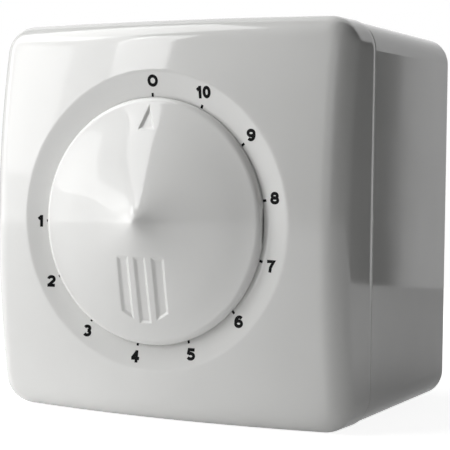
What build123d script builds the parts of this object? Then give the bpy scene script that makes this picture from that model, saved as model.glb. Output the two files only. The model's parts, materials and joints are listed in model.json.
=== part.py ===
from build123d import *
import os
from math import cos, radians, sin, sqrt, tan

# Surface-mounted rotary fan speed controller, in millimetres.
# The origin is the centre of the face that lies on the wall. +X is right and +Z is up, seen from the
# front, and the front looks along -Y. A depth is a distance from the wall, so it is -Y.

os.makedirs("parts", exist_ok=True)

# Enclosure
cover_width = 82.0
cover_overhang = 0.2  # how far the cover stands proud of the box on each side
box_depth = 45.8  # wall to the box's rim
seam_gap = 0.45  # dark line between the box's rim and the cover
corner_extra = 0.9  # how much larger the cover's plan corners are than the rounding at its face
box_wall = 2.2
box_floor = 2.5
box_draft = 0.35  # degrees
cover_wall = 2.4
cover_draft = 0.8  # degrees
crown_height = 19.7  # cover's rim to the top of the domed face, before the dish is cut
crown_radius = 192.0
edge_radius = 5.5  # rounding between the domed face and the sides
rim_radius = 0.4  # small rounding on both sides of the seam
box_back_radius = 0.8
join = 0.5  # how far a form runs into the one that it is joined to
cut_past = 1.0  # how far a cut runs past what it cuts

# Dish and knob well in the cover
dish_width = 5.6  # from the well's edge to the dish's lip
dish_slope = 9.2  # degrees
dish_lip_radius = 3.0
dish_cut_reach = 3.0  # how far the dish's cutter runs on outside its lip
well_depth = 7.5  # from the dish's inner edge to the well's floor
well_floor = 2.4
well_wall = 2.2
knob_gap = 0.45  # between the knob's skirt and the well's wall
collar_wall = 2.7
rib_thickness = 1.6
rib_height = 4.0

# Spigot that keeps the cover in line with the box
spigot_length = 3.0
spigot_wall = 1.6
spigot_gap = 0.3

# Knob: its rim overhangs the well's edge, so that no gap shows from the front
knob_radius = 25.0
knob_overhang = 0.75  # from the skirt to the rim
knob_rise = 8.3  # dish's inner edge to the knob's tip
knob_profile = ((2.6, 7.25), (7.6, 5.5), (18.4, 3.12))  # radius, height above the dish's inner edge
knob_tip_fall = 7.0  # degrees, how steeply the face starts at the tip
knob_rim_fall = 11.0  # degrees, how steeply it meets the rim's rounding
knob_rim_height = 0.35  # where the rim's rounding meets its side
knob_rim_under = 0.25  # the rim's underside
knob_wall = 2.0
knob_edge_radius = 1.5
knob_skirt = 3.0  # skirt's length below the dish's inner edge
skirt_wall = 2.1
hub_wall = 2.6
hub_clearance = 0.8  # between the hub and the nut
hub_end_gap = 0.5  # between the shaft's end and the bore's, and at the clip's two ends
hub_rib = 1.2
hub_rib_setback = 1.0  # how far the ribs stay inside the skirt's edge
clip_width = 3.2
clip_thickness = 0.4
clip_clearance = 0.1
mark_depth = 0.4  # pointer and grip grooves
pointer_width = 4.0
pointer_length = 5.0
pointer_from_rim = 1.55
pointer_wall_angle = 18.0  # degrees
pointer_cut_height = 2.2
pointer_cut_extra = (0.3, 0.2, 0.6)  # wider, lower and longer where the tapered cut starts, above the face
groove_width = 2.95
groove_rib = 1.1
groove_top = 6.75  # from the knob's axis
groove_from_rim = 4.5
groove_inner_rise = 0.6  # the outer grooves end in a slant between these two heights
groove_outer_rise = 2.3
gate_flat_length = 7.0  # small flat on the knob's right, where the moulding gate was cut off
gate_flat_depth = 0.35

# Potentiometer with switch
shaft_radius = 3.0
shaft_flat = 1.5  # how much the D flat takes off the shaft
shaft_flat_length = 9.0
shaft_in_knob = 7.5  # how far the shaft reaches into the hub
running_clearance = 0.05
bushing_wall = 1.95
bushing_rib = 1.0  # bushing's collar inside the case
bushing_rib_height = 0.6
bushing_beyond_nut = 0.3
pot_radius = 8.5
pot_wall = 0.6
pot_depth = 7.3
wafer_thickness = 1.3
rotor_radius = 6.6
rotor_thickness = 1.8
wiper_gap = 0.15
wiper_height = 1.0
wiper_width = 2.4
wiper_root = 2.0  # from the shaft's axis
wiper_metal = 0.3
wiper_reach = 1.8  # from the rotor's edge to the bent arm's end
wiper_bend = 0.8  # from the outside of the bend to its inside
switch_depth = 7.5
switch_pin_z = 3.0
switch_standoff = 3.9  # between the switch and the circuit board
nut_wall = 2.0
nut_height = 2.5
washer_width = 3.0
washer_thickness = 0.7
washer_clearance = 0.15
shaft_chamfer = 0.5
bushing_chamfer = 0.4
case_rounding = 0.5
switch_rounding = 1.0
pin_width = 1.0
pin_thickness = 0.5
pin_pitch = 5.0

# Carrier and screws
plate_thickness = 1.5
plate_side_gap = 4.6  # between the plate's sides and the box's walls
plate_top = 26.0
plate_bottom = 15.0  # below the knob's axis
plate_corner = 3.0
flange_half_width = 13.0
flange_length = 17.3
bend_radius = 1.0
box_screw_inset = 4.0  # from the plate's sides
boss_radius = 4.0
screw_radius = 1.5
screw_hole_clearance = 0.3
screw_head_radius = 2.75
screw_head_height = 2.0
screw_head_rounding = 0.6
screw_slot_width = 0.7
screw_slot_depth = 0.9
box_screw_length = 12.0
spacer_screw_length = 5.0
spacer_flats = 5.0
spacer_places = ((-17.0, 22.0), (20.0, -4.0), (-20.0, -4.0))

# Circuit board and what is on it
board_thickness = 1.6
board_side_gap = 7.6  # between the board and the box's side walls
board_end_gap = 9.6  # between the board and the box's top and bottom walls
board_corner = 1.5
boss_gap = 1.2  # between the box's bosses and the board's notches round them
triac_half_width = 5.0
triac_tab_height = 15.7
triac_tab_thickness = 1.3
triac_body_height = 9.2
triac_body_thickness = 3.2
triac_body_chamfer = 0.5
triac_lead_pitch = 2.54
triac_lead_width = 0.7
triac_lead_thickness = 0.5
triac_lead_drop = 1.9  # from the tab to the leads' middle
triac_hole_from_top = 3.2
triac_from_plate = 1.2  # between the tab's end and the chassis plate
triac_nut_flats = 5.5
triac_nut_height = 2.4
triac_screw_beyond = 1.0  # how far the screw stands out of its nut
nut_thread_depth = 0.2
choke_x = 21.0
choke_z = -18.0
choke_radius = 8.0
choke_height = 13.0
choke_flange = 1.8
choke_core_radius = 3.5
winding_radius = 7.0
film_x = -20.0
film_z = -18.0
film_size = (18.0, 11.0, 15.0)
small_capacitor_x = 14.0
small_capacitor_z = 22.5
small_capacitor_size = (7.2, 3.5, 8.0)
capacitor_rounding = 0.8
capacitor_chamfer = 0.4
resistor_x = 25.0
resistor_z = (10.0, 16.0, 22.0)
resistor_length = 6.3
resistor_radius = 1.2
resistor_pitch = 10.0
diac_x = -13.0
diac_z = 8.5
diac_length = 4.0
diac_radius = 0.95
diac_pitch = 7.6
lead_radius = 0.3
lead_bend = 0.9
part_height = 0.4  # between the board and an axial part's body
trimmer_x = 14.5
trimmer_z = 11.0
trimmer_width = 9.5
trimmer_height = 4.8
trimmer_rotor_radius = 3.4
trimmer_recess = 2.4
trimmer_rotor_rise = 0.8
trimmer_pivot_radius = 1.0
trimmer_pivot_length = 1.4
trimmer_gap = 0.3
trimmer_float = 0.1  # between the rotor and the recess's floor
trimmer_slot_width = 0.9
trimmer_slot_depth = 1.2
trimmer_slot_margin = 0.6  # from the slot's ends to the rotor's edge
trimmer_access_radius = 2.2

# Fuse, 5 x 20 mm
fuse_x = -23.5
fuse_z = 17.0
fuse_length = 20.0
fuse_radius = 2.6
fuse_glass_radius = 2.4
fuse_cap_length = 5.0
fuse_height = 5.4  # board to the fuse's axis
clip_metal = 0.5
clip_length = 4.6
clip_height = 7.6

# Terminal block
terminal_count = 4
terminal_pitch = 5.0
terminal_length = 10.0
terminal_height = 11.5
wire_hole = 4.0
wire_height = 4.2  # board to the wire holes' axis
wire_hole_length = 7.0
clamp_gap = 0.05
clamp_wall = 0.45
clamp_length = 6.0
terminal_screw_radius = 1.2
terminal_head_radius = 1.85
terminal_head_height = 1.9
terminal_screw_sunk = 0.9
terminal_screw_tip = 0.4  # from the wire holes' axis
terminal_well_clearance = 0.15

# Mounting to the wall and cable entry
wall_screw_spacing = 60.0
wall_screw_hole = 2.25
relief_length = 60.0  # where the rear edge stands off the wall between the corners
relief_width = 2.0
relief_depth = 0.5
knockout_z = 12.0
knockout_radius = 9.0
knockout_skin = 1.0
knockout_groove = 1.2
entry_depth = 14.0  # wall to the cable entry's axis
entry_radius = 9.0
entry_recess_radius = 11.0
entry_recess = 1.1
grommet_flange = 0.9
grommet_bore = 4.0
grommet_nose = 3.2
grommet_nose_radius = 6.0
grommet_nose_wall = 0.9
grommet_lip = 1.3  # how far the inner flange reaches past the hole
grommet_lip_height = 1.1
grommet_lip_taper = 0.4
grommet_shoulder = 0.2  # from the inner flange's rim to the nose's foot
grommet_edge_gap = 0.3  # round the outer flange
grommet_gap = 0.15  # allows for the wall's draft

# Sizes that follow from those above
box_width = cover_width - 2 * cover_overhang
corner_radius = edge_radius + corner_extra
cover_back = box_depth + seam_gap
crown_depth = cover_back + crown_height
skirt_radius = knob_radius - knob_overhang
well_radius = skirt_radius + knob_gap
dish_radius = well_radius + dish_width
dish_lip = crown_depth - crown_radius + sqrt(crown_radius**2 - dish_radius**2)
dish_edge = dish_lip - (dish_radius - well_radius) * tan(radians(dish_slope))
well_front = dish_edge - well_depth
well_back = well_front - well_floor
box_inside = box_width / 2 - box_wall
plate_back = box_depth - plate_thickness
plate_half_width = box_inside - plate_side_gap
box_screw_x = plate_half_width - box_screw_inset
pot_back = plate_back - pot_depth
switch_back = pot_back - switch_depth
board_front = switch_back - switch_standoff
board_depth = board_front - board_thickness
board_half_width = box_inside - board_side_gap
board_half_height = box_inside - board_end_gap
terminal_z = -board_half_height
rotor_back = pot_back + wafer_thickness + wiper_height + wiper_gap
bushing_radius = shaft_radius + running_clearance + bushing_wall
collar_radius = bushing_radius + screw_hole_clearance + collar_wall
nut_flats = 2 * (bushing_radius + nut_wall)
washer_radius = bushing_radius + washer_width
nut_back = well_front + washer_thickness
nut_front = nut_back + nut_height
hub_radius = shaft_radius + hub_wall
hub_back = nut_front + hub_clearance
shaft_end = hub_back + shaft_in_knob
pointer_tip = knob_radius - pointer_from_rim
pointer_base = pointer_tip - pointer_length
groove_end = knob_radius - groove_from_rim


def front_plane(depth, x=0.0, z=0.0):
    """Plane parallel to the wall, facing the front: its own x is X, its own y is Z."""
    return Plane(origin=(x, -depth, z), x_dir=(1, 0, 0), z_dir=(0, -1, 0))


def wall_plane(depth):
    """Plane parallel to the wall, facing the wall: its own x is X, its own y is -Z."""
    return Plane(origin=(0, -depth, 0), x_dir=(1, 0, 0), z_dir=(0, 1, 0))


def turned(points):
    """Solid of revolution about Y from (radius, depth) points joined by straight lines."""
    with BuildPart() as form:
        with BuildSketch(Plane.XY):
            with BuildLine():
                Polyline([(radius, -depth) for radius, depth in points], close=True)
            make_face()
        revolve(axis=Axis.Y)
    return form.part


def tube(outer, inner, back, front, x=0.0, z=0.0):
    """Round tube along Y between two depths."""
    with BuildPart() as form:
        with BuildSketch(front_plane(back, x, z)):
            Circle(outer)
            if inner > 0:
                Circle(inner, mode=Mode.SUBTRACT)
        extrude(amount=front - back)
    return form.part


def block(size_x, size_z, back, front, x=0.0, z=0.0):
    """Plain block along Y between two depths."""
    with BuildPart() as form:
        with BuildSketch(front_plane(back, x, z)):
            Rectangle(size_x, size_z)
        extrude(amount=front - back)
    return form.part


def pillow(inset, rim):
    """The cover's outer form, moved inwards by inset: drafted sides, domed face, rounded edges."""
    width = cover_width - 2 * inset
    with BuildPart() as form:
        with BuildSketch(front_plane(cover_back)):
            RectangleRounded(width, width, corner_radius - inset)
        extrude(amount=crown_height + 1, taper=cover_draft)
        with Locations((0, crown_radius - crown_depth, 0)):
            Sphere(crown_radius - inset, mode=Mode.INTERSECT)
        dome = form.faces().filter_by(GeomType.SPHERE)
        fillet(dome.edges(), radius=edge_radius - inset)
        if rim > 0:
            fillet(form.faces().sort_by(Axis.Y)[-1].edges(), radius=rim)
    return form.part


def square_ring(outside, wall, corner, back, front):
    """Rounded square ring between two depths."""
    with BuildPart() as form:
        with BuildSketch(front_plane(back)):
            RectangleRounded(2 * outside, 2 * outside, corner)
            inside = outside - wall
            RectangleRounded(2 * inside, 2 * inside, corner - wall, mode=Mode.SUBTRACT)
        extrude(amount=front - back)
    return form.part


def screw(length, head_front, x, z):
    """Slotted round-head screw whose head's front face is at head_front, pointing at the wall."""
    head_back = head_front - screw_head_height
    with BuildPart() as form:
        with BuildSketch(front_plane(head_back, x, z)):
            Circle(screw_head_radius)
        extrude(amount=screw_head_height)
        fillet(form.faces().sort_by(Axis.Y)[0].edges(), radius=screw_head_rounding)
        with BuildSketch(front_plane(head_back, x, z)):
            Circle(screw_radius)
        extrude(amount=-length)
        with BuildSketch(front_plane(head_front, x, z)):
            Rectangle(2 * screw_head_radius, screw_slot_width)
        extrude(amount=-screw_slot_depth, mode=Mode.SUBTRACT)
    return form.part


def axial(length, radius, pitch):
    """Resistor or diode lying on the board: x along its leads, z away from the board."""
    height = part_height + radius
    with BuildPart() as form:
        with BuildSketch(Plane.YZ.offset(-length / 2)):
            with Locations((0, height)):
                Circle(radius)
        extrude(amount=length)
        ends = form.faces().filter_by(Axis.X)
        fillet(ends.edges(), radius=0.35 * radius)
        for side in (-1, 1):
            with BuildLine() as path:
                FilletPolyline(
                    (side * (length / 2 - 0.2), 0, height),
                    (side * pitch / 2, 0, height),
                    (side * pitch / 2, 0, 0),
                    radius=lead_bend,
                )
            with BuildSketch(Plane(origin=path.line @ 0, z_dir=path.line % 0)):
                Circle(lead_radius)
            sweep(path=path.line)
    return form.part


def on_board(form, x, z):
    """A form made about its own origin, put on the front of the board."""
    return front_plane(board_front, x, z).location * form


# Back box: drafted walls, four corner pads, screw bosses, knock-out and cable entry
with BuildPart() as back_box:
    with BuildSketch(wall_plane(box_depth)):
        RectangleRounded(box_width, box_width, corner_radius - cover_overhang)
    extrude(amount=box_depth, taper=box_draft)
    fillet(back_box.faces().sort_by(Axis.Y)[0].edges(), radius=rim_radius)
    fillet(back_box.faces().sort_by(Axis.Y)[-1].edges(), radius=box_back_radius)
    with BuildSketch(wall_plane(box_depth)):
        RectangleRounded(2 * box_inside, 2 * box_inside, corner_radius - cover_overhang - box_wall)
    extrude(amount=box_depth - box_floor, taper=box_draft, mode=Mode.SUBTRACT)
    with BuildSketch(front_plane(0)):
        with PolarLocations(box_width / 2, 4):
            Rectangle(2 * relief_width, relief_length)
    extrude(amount=relief_depth, mode=Mode.SUBTRACT)
    # screw bosses, each tied to its wall by a web that stops short of the cover's spigot
    with BuildSketch(front_plane(box_floor - join)):
        with Locations((-box_screw_x, 0), (box_screw_x, 0)):
            Circle(boss_radius)
    extrude(amount=plate_back - box_floor + join)
    web_middle = (box_screw_x + box_inside) / 2
    web_front = cover_back - spigot_length - spigot_gap
    with BuildSketch(front_plane(box_floor - join)):
        with Locations((-web_middle, 0), (web_middle, 0)):
            Rectangle(box_inside - box_screw_x + 2 * join, rib_thickness)
    extrude(amount=web_front - box_floor + join)
    with BuildSketch(front_plane(plate_back)):
        with Locations((-box_screw_x, 0), (box_screw_x, 0)):
            Circle(screw_radius + running_clearance)
    extrude(amount=-box_screw_length - 2, mode=Mode.SUBTRACT)
    # wall screw holes
    with BuildSketch(front_plane(0)):
        with Locations((0, -wall_screw_spacing / 2), (0, wall_screw_spacing / 2)):
            Circle(wall_screw_hole)
    extrude(amount=box_floor, mode=Mode.SUBTRACT)
    # thin ring round the knock-out, cut from inside
    with BuildSketch(front_plane(knockout_skin, 0, knockout_z)):
        Circle(knockout_radius)
        Circle(knockout_radius - knockout_groove, mode=Mode.SUBTRACT)
    extrude(amount=box_floor, mode=Mode.SUBTRACT)
    # cable entry through the underside, with a recess for the grommet's flange
    entry_floor = box_width / 2 - (box_depth - entry_depth) * tan(radians(box_draft))
    with BuildSketch(Plane.XY.offset(-entry_floor + entry_recess)):
        with Locations((0, -entry_depth)):
            Circle(entry_recess_radius)
    extrude(amount=-2 * entry_recess, mode=Mode.SUBTRACT)
    with BuildSketch(Plane.XY.offset(-entry_floor - cut_past)):
        with Locations((0, -entry_depth)):
            Circle(entry_radius)
    extrude(amount=box_wall + 2 * cut_past, mode=Mode.SUBTRACT)
back_box.part.label = "back_box"
export_step(back_box.part, "parts/back_box.step")

# Grommet: outer flange in the recess, neck in the hole, inner flange and a coned nose
entry_wall = entry_floor - entry_recess - (box_inside - (box_depth - entry_depth) * tan(radians(box_draft)))
with BuildPart() as cable_grommet:
    with BuildSketch(Plane.XZ.offset(entry_depth)):
        flange_face = -entry_floor + entry_recess - grommet_flange
        wall_front = -entry_floor + entry_recess
        wall_back = wall_front + entry_wall + grommet_gap
        flange_radius = entry_recess_radius - grommet_edge_gap
        lip_back = wall_back + grommet_lip_height
        with BuildLine():
            Polyline(
                (grommet_bore, flange_face),
                (flange_radius, flange_face),
                (flange_radius, wall_front),
                (entry_radius - grommet_gap, wall_front),
                (entry_radius - grommet_gap, wall_back),
                (entry_radius + grommet_lip, wall_back),
                (entry_radius + grommet_lip - grommet_lip_taper, lip_back),
                (grommet_nose_radius, lip_back + grommet_shoulder),
                (grommet_bore + grommet_nose_wall, wall_back + grommet_nose),
                (grommet_bore, wall_back + grommet_nose),
                close=True,
            )
        make_face()
    revolve(axis=Axis((0, -entry_depth, 0), (0, 0, 1)))
cable_grommet.part.label = "cable_grommet"
export_step(cable_grommet.part, "parts/cable_grommet.step")

# Front cover: even-walled pillow moulding with the dish, the knob well and the spigot
cutter_radius = dish_radius + dish_cut_reach
cutter_edge = dish_lip + dish_cut_reach * tan(radians(dish_slope))
with BuildPart() as front_cover:
    add(pillow(0, rim_radius))
    add(pillow(cover_wall, 0), mode=Mode.SUBTRACT)
    add(square_ring(box_inside + box_wall / 2, spigot_wall + box_wall / 2 + spigot_gap,
                    corner_radius - box_wall / 2, cover_back, cover_back + cover_wall))
    add(square_ring(box_inside - spigot_gap, spigot_wall, corner_radius - box_wall - spigot_gap,
                    cover_back - spigot_length, cover_back + join))
    add(tube(well_radius + well_wall, 0, well_back, dish_edge - join))
    add(turned([(0, crown_depth + cut_past), (cutter_radius, crown_depth + cut_past),
                (cutter_radius, cutter_edge), (well_radius, dish_edge), (well_radius, well_front),
                (0, well_front)]),
        mode=Mode.SUBTRACT)
    lip_edges = front_cover.edges().filter_by(GeomType.CIRCLE)
    lip = lip_edges.filter_by(lambda edge: abs(edge.radius - dish_radius) < 0.05)
    fillet(lip, radius=dish_lip_radius)
    # collar that bears on the chassis plate, with four ribs to the well's wall
    add(tube(collar_radius, 0, box_depth, well_back + join))
    with BuildSketch(front_plane(well_back - rib_height)):
        Rectangle(2 * well_radius + well_wall, rib_thickness)
        Rectangle(rib_thickness, 2 * well_radius + well_wall)
    extrude(amount=rib_height + join)
    add(tube(bushing_radius + screw_hole_clearance, 0, box_depth - cut_past, well_front + cut_past),
        mode=Mode.SUBTRACT)
    with BuildSketch(front_plane(well_back - cut_past, trimmer_x, trimmer_z)):
        Circle(trimmer_access_radius)
    extrude(amount=well_floor + 2 * cut_past, mode=Mode.SUBTRACT)
front_cover.part.label = "front_cover"
export_step(front_cover.part, "parts/front_cover.step")


def knob_form(back_shift, edge):
    """The knob's outer form: a hollow-flanked cone with a rounded tip and rim, moved back by a shift."""
    base = dish_edge - back_shift
    rim = base + knob_rim_height
    fall = radians(knob_rim_fall)
    with BuildPart() as form:
        with BuildSketch(Plane.XY):
            with BuildLine():
                cone = Spline(
                    (0, -(base + knob_rise)),
                    *[(radius, -(base + height)) for radius, height in knob_profile],
                    (knob_radius - edge * (1 - sin(fall)), -(rim + edge * cos(fall))),
                    tangents=((1, tan(radians(knob_tip_fall))), (1, tan(fall))),
                )
                RadiusArc(cone @ 1, (knob_radius, -rim), -edge)
                Polyline((knob_radius, -rim), (knob_radius, -(base + knob_rim_under)),
                         (skirt_radius, -(base + knob_rim_under)), (skirt_radius, -(dish_edge - knob_skirt)),
                         (0, -(dish_edge - knob_skirt)), cone @ 0)
            make_face()
        revolve(axis=Axis.Y)
    return form.part


def groove_outline(side):
    """Corners of one grip groove; side is -1, 0 or 1, and the outer two end in a slant."""
    middle = side * (groove_width + groove_rib)
    left, right = middle - groove_width / 2, middle + groove_width / 2
    rises = {
        -1: (groove_outer_rise, groove_inner_rise),
        0: (0, 0),
        1: (groove_inner_rise, groove_outer_rise),
    }
    left_rise, right_rise = rises[side]
    return [(left, -groove_top), (right, -groove_top), (right, right_rise - groove_end),
            (left, left_rise - groove_end)]


# What the pointer and the grooves take out of the knob: prisms that stop at a copy of the cone
with BuildPart() as marks:
    for side in (-1, 0, 1):
        with BuildSketch(front_plane(dish_edge)):
            Polygon(*groove_outline(side), align=None)
        extrude(amount=knob_rise)
    wider, lower, longer = pointer_cut_extra
    with BuildSketch(wall_plane(dish_edge + knob_profile[-1][1] + wider)):
        Polygon((-pointer_width / 2 - wider, lower - pointer_base),
                (pointer_width / 2 + wider, lower - pointer_base), (0, -pointer_tip - longer), align=None)
    extrude(amount=pointer_cut_height, taper=pointer_wall_angle)
    add(knob_form(mark_depth, knob_edge_radius), mode=Mode.SUBTRACT)

# The knob's hollow: the same cone, moved back by the wall's thickness, inside the skirt
with BuildPart() as knob_hollow:
    add(knob_form(knob_wall, knob_edge_radius))
    add(tube(skirt_radius - skirt_wall, 0, dish_edge - knob_skirt, dish_edge + knob_rise),
        mode=Mode.INTERSECT)

# The hub and its three ribs, cut off inside the knob's wall
with BuildPart() as knob_hub:
    rib_reach = skirt_radius - skirt_wall - hub_radius
    with BuildSketch(front_plane(dish_edge - knob_skirt + hub_rib_setback)):
        with PolarLocations(hub_radius + rib_reach / 2, 3, start_angle=90):
            Rectangle(rib_reach + 2 * join, hub_rib)
    extrude(amount=knob_skirt + knob_rise)
    add(tube(hub_radius, 0, dish_edge - knob_skirt, dish_edge + knob_rise))
    add(knob_form(knob_wall / 2, knob_edge_radius), mode=Mode.INTERSECT)

# Knob: hollow underneath, with a hub for the D shaft and ribs from the hub to the skirt
with BuildPart() as knob:
    add(knob_form(0, knob_edge_radius))
    add(marks.part, mode=Mode.SUBTRACT)
    add(knob_hollow.part, mode=Mode.SUBTRACT)
    add(knob_hub.part)
    add(tube(hub_radius, 0, hub_back, dish_edge))
    with BuildSketch(front_plane(hub_back)):
        bore = shaft_radius + running_clearance
        bore_flat = shaft_radius - shaft_flat + clip_thickness + 2 * clip_clearance
        Circle(bore)
        with Locations((0, bore_flat + bore)):
            Rectangle(2 * bore, 2 * bore, mode=Mode.SUBTRACT)
    extrude(amount=shaft_in_knob + hub_end_gap, mode=Mode.SUBTRACT)
    with Locations((knob_radius, -dish_edge, 0)):
        Box(2 * gate_flat_depth, 2 * knob_skirt, gate_flat_length, mode=Mode.SUBTRACT)
knob.part.label = "knob"
export_step(knob.part, "parts/knob.step")

# Leaf spring between the shaft's flat and the hub
with BuildPart() as knob_clip:
    with BuildSketch(front_plane(hub_back + hub_end_gap)):
        with Locations((0, shaft_radius - shaft_flat + clip_clearance + clip_thickness / 2)):
            Rectangle(clip_width, clip_thickness)
    extrude(amount=shaft_in_knob - 2 * hub_end_gap)
knob_clip.part.label = "knob_clip"
export_step(knob_clip.part, "parts/knob_clip.step")

# Shaft with a D flat towards the pointer
with BuildPart() as pot_shaft:
    add(tube(shaft_radius, 0, rotor_back, shaft_end))
    chamfer(pot_shaft.faces().sort_by(Axis.Y)[0].edges(), length=shaft_chamfer)
    flat_back = shaft_end - shaft_flat_length
    with BuildSketch(front_plane(flat_back)):
        with Locations((0, 2 * shaft_radius - shaft_flat)):
            Rectangle(2 * shaft_radius, 2 * shaft_radius)
    extrude(amount=shaft_flat_length + cut_past, mode=Mode.SUBTRACT)
pot_shaft.part.label = "pot_shaft"
export_step(pot_shaft.part, "parts/pot_shaft.step")

# Rotor on the shaft, and the wiper spring that runs on the wafer
with BuildPart() as pot_rotor:
    add(tube(rotor_radius, shaft_radius + running_clearance, rotor_back, rotor_back + rotor_thickness))
pot_rotor.part.label = "pot_rotor"
export_step(pot_rotor.part, "parts/pot_rotor.step")

with BuildPart() as pot_wiper:
    heel = rotor_radius - 2 * wiper_metal
    toe = rotor_radius - wiper_reach
    with BuildSketch(Plane.YZ.offset(-wiper_width / 2)):
        with BuildLine():
            Polyline(
                (-rotor_back, wiper_root), (-rotor_back, heel),
                (wiper_height - wiper_metal / 3 - rotor_back, toe + wiper_metal / 2),
                (wiper_height - wiper_metal - rotor_back, toe),
                (wiper_metal - rotor_back, heel - wiper_bend), (wiper_metal - rotor_back, wiper_root),
                close=True,
            )
        make_face()
    extrude(amount=wiper_width)
pot_wiper.part.label = "pot_wiper"
export_step(pot_wiper.part, "parts/pot_wiper.step")

# Bushing, case, wafer and switch: the fixed half of the potentiometer
with BuildPart() as pot_bushing:
    rib_front = plate_back - pot_wall
    add(tube(bushing_radius, shaft_radius + running_clearance, rib_front - bushing_rib_height,
             nut_front + bushing_beyond_nut))
    chamfer(pot_bushing.faces().sort_by(Axis.Y)[0].edges().sort_by(SortBy.RADIUS)[-1], length=bushing_chamfer)
    add(tube(bushing_radius + bushing_rib, bushing_radius - join, rib_front - bushing_rib_height, rib_front))
pot_bushing.part.label = "pot_bushing"
export_step(pot_bushing.part, "parts/pot_bushing.step")

with BuildPart() as pot_case:
    add(tube(pot_radius, 0, pot_back, plate_back))
    fillet(pot_case.faces().sort_by(Axis.Y)[0].edges(), radius=case_rounding)
    add(tube(pot_radius - pot_wall, 0, pot_back, plate_back - pot_wall), mode=Mode.SUBTRACT)
    add(tube(bushing_radius + running_clearance, 0, pot_back, plate_back), mode=Mode.SUBTRACT)
pot_case.part.label = "pot_case"
export_step(pot_case.part, "parts/pot_case.step")

with BuildPart() as pot_wafer:
    add(tube(pot_radius - pot_wall - running_clearance, 0, pot_back, pot_back + wafer_thickness))
pot_wafer.part.label = "pot_wafer"
export_step(pot_wafer.part, "parts/pot_wafer.step")

with BuildPart() as switch_case:
    add(tube(pot_radius, 0, switch_back, pot_back))
    fillet(switch_case.faces().sort_by(Axis.Y)[-1].edges(), radius=switch_rounding)
switch_case.part.label = "switch_case"
export_step(switch_case.part, "parts/switch_case.step")

# Three pins of the potentiometer and two of the switch, down to the board
with BuildPart() as pot_terminals:
    for x in (-pin_pitch, 0, pin_pitch):
        pin_z = -pot_radius - pin_thickness / 2
        add(block(pin_width, pin_thickness, board_front, pot_back - 0.2, x, pin_z))
    for x in (-pin_pitch / 2, pin_pitch / 2):
        add(block(pin_width, pin_thickness, board_front, switch_back, x, switch_pin_z))
pot_terminals.part.label = "pot_terminals"
export_step(pot_terminals.part, "parts/pot_terminals.step")

# Washer and nut in the well, under the knob
with BuildPart() as pot_washer:
    add(tube(washer_radius, bushing_radius + washer_clearance, well_front, nut_back))
pot_washer.part.label = "pot_washer"
export_step(pot_washer.part, "parts/pot_washer.step")

with BuildPart() as pot_nut:
    with BuildSketch(front_plane(nut_back)):
        RegularPolygon(nut_flats / 2, 6, major_radius=False)
        Circle(bushing_radius + running_clearance, mode=Mode.SUBTRACT)
    extrude(amount=nut_height)
pot_nut.part.label = "pot_nut"
export_step(pot_nut.part, "parts/pot_nut.step")

# Chassis plate with the triac's flange bent back along its top
with BuildPart() as chassis_plate:
    with BuildSketch(front_plane(plate_back)):
        with Locations((0, (plate_top - plate_bottom) / 2)):
            RectangleRounded(2 * plate_half_width, plate_top + plate_bottom, plate_corner)
        with Locations((0, plate_top - plate_corner)):
            Rectangle(2 * flange_half_width, 2 * plate_corner)
    extrude(amount=plate_thickness)
    with BuildSketch(front_plane(box_depth)):
        with Locations((0, plate_top - plate_thickness / 2)):
            Rectangle(2 * flange_half_width, plate_thickness)
    extrude(amount=-flange_length)
    inner_bend = chassis_plate.edges().filter_by(Axis.X).filter_by(
        lambda edge: abs(edge.center().Z - plate_top + plate_thickness) < 0.01
        and abs(edge.center().Y + plate_back) < 0.01)
    fillet(inner_bend, radius=bend_radius)
    add(tube(bushing_radius + washer_clearance, 0, plate_back - cut_past, box_depth + cut_past),
        mode=Mode.SUBTRACT)
    with BuildSketch(front_plane(plate_back)):
        with Locations((-box_screw_x, 0), (box_screw_x, 0)):
            SlotOverall(2 * screw_radius + 2, 2 * (screw_radius + screw_hole_clearance))
        with Locations(*spacer_places):
            Circle(screw_radius + screw_hole_clearance)
        with Locations((trimmer_x, trimmer_z)):
            Circle(trimmer_access_radius)
    extrude(amount=plate_thickness, mode=Mode.SUBTRACT)
    triac_top = plate_back - triac_from_plate
    triac_hole = triac_top - triac_hole_from_top
    with BuildSketch(Plane.XY.offset(plate_top - plate_thickness)):
        with Locations((0, -triac_hole)):
            Circle(screw_radius + screw_hole_clearance)
    extrude(amount=plate_thickness, mode=Mode.SUBTRACT)
chassis_plate.part.label = "chassis_plate"
export_step(chassis_plate.part, "parts/chassis_plate.step")

with BuildPart() as chassis_screws:
    for x in (-box_screw_x, box_screw_x):
        add(screw(box_screw_length, box_depth + screw_head_height, x, 0))
chassis_screws.part.label = "chassis_screws"
export_step(chassis_screws.part, "parts/chassis_screws.step")

# Hexagonal spacers between the board and the chassis plate, and their screws
with BuildPart() as board_spacers:
    for x, z in spacer_places:
        with BuildSketch(front_plane(board_front, x, z)):
            RegularPolygon(spacer_flats / 2, 6, major_radius=False)
            Circle(screw_radius + running_clearance, mode=Mode.SUBTRACT)
        extrude(amount=plate_back - board_front)
board_spacers.part.label = "board_spacers"
export_step(board_spacers.part, "parts/board_spacers.step")

with BuildPart() as spacer_screws:
    for x, z in spacer_places:
        add(screw(spacer_screw_length, box_depth + screw_head_height, x, z))
spacer_screws.part.label = "spacer_screws"
export_step(spacer_screws.part, "parts/spacer_screws.step")

with BuildPart() as board_screws:
    for x, z in spacer_places:
        mirrored = screw(spacer_screw_length, screw_head_height, x, z).mirror(Plane.XZ)
        add(mirrored.moved(Location((0, -board_depth, 0))))
board_screws.part.label = "board_screws"
export_step(board_screws.part, "parts/board_screws.step")

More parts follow.
